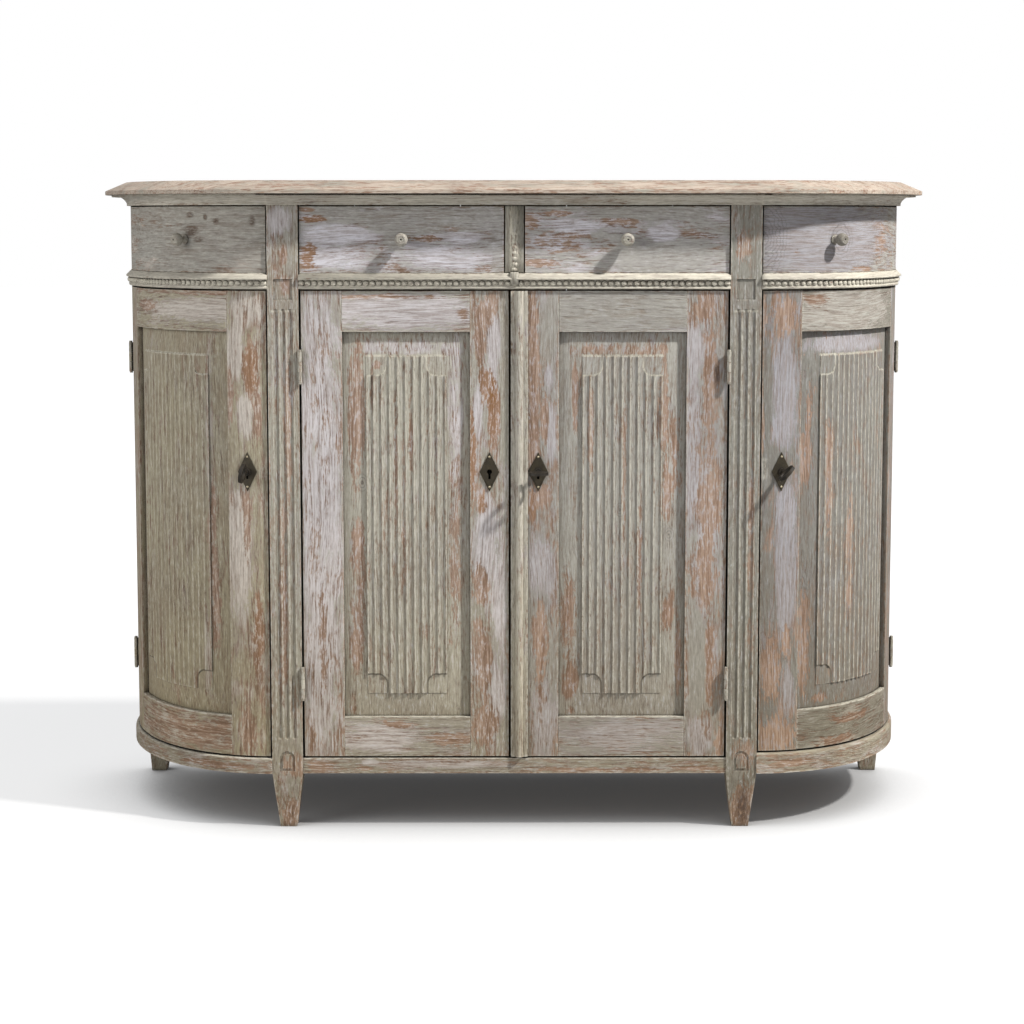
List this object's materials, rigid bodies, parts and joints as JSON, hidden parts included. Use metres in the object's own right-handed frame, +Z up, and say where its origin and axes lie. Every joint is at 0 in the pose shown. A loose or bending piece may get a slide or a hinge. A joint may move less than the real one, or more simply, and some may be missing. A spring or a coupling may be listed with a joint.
{
  "type": "buffet",
  "caption": "Painted sideboard with rounded ends, drawers over panelled doors with fluted fields, fluted posts and tapered legs",
  "frame": {"origin": "on the floor, under the middle of the top", "axes": "+X right as seen from the front, +Y to the back, +Z up"},
  "size_m": [1.326, 0.49, 0.993],
  "materials": {
    "painted_wood": "scraped grey-green paint",
    "worn_top": "scrubbed, worn",
    "bare_wood": "unpainted pine",
    "bronze": "dark patina",
    "iron": "dull, oxidised",
    "painted_iron": "painted over"
  },
  "bodies": {
    "carcass": {"top_board": "worn_top", "cornice": "painted_wood", "front_post_left": "painted_wood", "front_post_right": "painted_wood", "rear_posts": "painted_wood", "side_stiles": "painted_wood", "partitions": "bare_wood", "bottom_boards": "bare_wood", "drawer_decks": "bare_wood", "shelves": "bare_wood", "shelf_cleats": "bare_wood", "drawer_guides": "bare_wood", "base_rails": "painted_wood", "bead_rails": "painted_wood", "bead_mouldings": "painted_wood", "drawer_muntin": "painted_wood", "back_boards": "bare_wood", "hinge_leaves_fixed": "painted_iron"},
    "centre_left_door": {"centre_left_door_stiles": "painted_wood", "centre_left_door_rails": "painted_wood", "centre_left_door_panel": "painted_wood", "centre_left_door_escutcheon": "bronze", "centre_left_door_hinge_leaves": "painted_iron"},
    "centre_right_door": {"centre_right_door_stiles": "painted_wood", "centre_right_door_rails": "painted_wood", "centre_right_door_panel": "painted_wood", "centre_right_door_escutcheon": "bronze", "centre_right_door_hinge_leaves": "painted_iron", "centre_right_door_astragal": "painted_wood", "centre_right_door_lock_case": "iron"},
    "centre_right_key": {"centre_right_door_key": "iron"},
    "centre_right_lock_bolt": {"centre_right_door_lock_bolt": "iron"},
    "left_end_door": {"left_end_door_stiles": "painted_wood", "left_end_door_rails": "painted_wood", "left_end_door_panel": "painted_wood", "left_end_door_escutcheon": "bronze", "left_end_door_hinge_leaves": "painted_iron", "left_end_door_lock_case": "iron"},
    "left_end_key": {"left_end_door_key": "iron"},
    "left_end_lock_bolt": {"left_end_door_lock_bolt": "iron"},
    "right_end_door": {"right_end_door_stiles": "painted_wood", "right_end_door_rails": "painted_wood", "right_end_door_panel": "painted_wood", "right_end_door_escutcheon": "bronze", "right_end_door_hinge_leaves": "painted_iron", "right_end_door_lock_case": "iron"},
    "right_end_key": {"right_end_door_key": "iron"},
    "right_end_lock_bolt": {"right_end_door_lock_bolt": "iron"},
    "centre_left_drawer": {"centre_left_drawer_front": "painted_wood", "centre_left_drawer_box": "bare_wood", "centre_left_drawer_knob": "painted_wood"},
    "centre_right_drawer": {"centre_right_drawer_front": "painted_wood", "centre_right_drawer_box": "bare_wood", "centre_right_drawer_knob": "painted_wood"},
    "left_end_drawer": {"left_end_drawer_front": "painted_wood", "left_end_drawer_box": "bare_wood", "left_end_drawer_knob": "painted_wood"},
    "right_end_drawer": {"right_end_drawer_front": "painted_wood", "right_end_drawer_box": "bare_wood", "right_end_drawer_knob": "painted_wood"}
  },
  "joints": [
    {"name": "centre_left_door_hinge", "type": "hinge", "parent": "carcass", "child": "centre_left_door", "pos_m": [-0.3245, -0.2126, 0.227], "axis": [0, 0, -1], "range_deg": [0, 135]},
    {"name": "centre_right_door_hinge", "type": "hinge", "parent": "carcass", "child": "centre_right_door", "pos_m": [0.3245, -0.2126, 0.227], "axis": [0, 0, 1], "range_deg": [0, 135]},
    {"name": "centre_right_key_turn", "type": "hinge", "parent": "centre_right_door", "child": "centre_right_key", "pos_m": [0.03617, -0.205, 0.553], "axis": [0, 1, 0], "range_deg": [0, 180]},
    {"name": "centre_right_lock_bolt_slide", "type": "slide", "parent": "centre_right_door", "child": "centre_right_lock_bolt", "axis": [-1, 0, 0], "range_m": [0, 0.007]},
    {"name": "left_end_door_hinge", "type": "hinge", "parent": "carcass", "child": "left_end_door", "pos_m": [-0.62215, 0.07498, 0.227], "axis": [0, 0, -1], "range_deg": [0, 120]},
    {"name": "left_end_key_turn", "type": "hinge", "parent": "left_end_door", "child": "left_end_key", "pos_m": [-0.40631, -0.20192, 0.553], "axis": [0.1824, 0.9832, 0], "range_deg": [0, 180]},
    {"name": "left_end_lock_bolt_slide", "type": "slide", "parent": "left_end_door", "child": "left_end_lock_bolt", "axis": [0.9832, -0.1824, 0], "range_m": [0, 0.007]},
    {"name": "right_end_door_hinge", "type": "hinge", "parent": "carcass", "child": "right_end_door", "pos_m": [0.62215, 0.07498, 0.227], "axis": [0, 0, 1], "range_deg": [0, 120]},
    {"name": "right_end_key_turn", "type": "hinge", "parent": "right_end_door", "child": "right_end_key", "pos_m": [0.40631, -0.20192, 0.553], "axis": [-0.1824, 0.9832, 0], "range_deg": [0, 180]},
    {"name": "right_end_lock_bolt_slide", "type": "slide", "parent": "right_end_door", "child": "right_end_lock_bolt", "axis": [-0.9832, -0.1824, 0], "range_m": [0, 0.007]},
    {"name": "centre_left_drawer_slide", "type": "slide", "parent": "carcass", "child": "centre_left_drawer", "axis": [0, -1, 0], "range_m": [0, 0.27]},
    {"name": "centre_right_drawer_slide", "type": "slide", "parent": "carcass", "child": "centre_right_drawer", "axis": [0, -1, 0], "range_m": [0, 0.27]},
    {"name": "left_end_drawer_slide", "type": "slide", "parent": "carcass", "child": "left_end_drawer", "axis": [0, -1, 0], "range_m": [0, 0.22]},
    {"name": "right_end_drawer_slide", "type": "slide", "parent": "carcass", "child": "right_end_drawer", "axis": [0, -1, 0], "range_m": [0, 0.22]}
  ],
  "couplings": [
    {"joint": "centre_right_lock_bolt_slide", "follows": "centre_right_key_turn", "m_per_rad": 0.0022282},
    {"joint": "left_end_lock_bolt_slide", "follows": "left_end_key_turn", "m_per_rad": 0.0022282},
    {"joint": "right_end_lock_bolt_slide", "follows": "right_end_key_turn", "m_per_rad": 0.0022282}
  ]
}
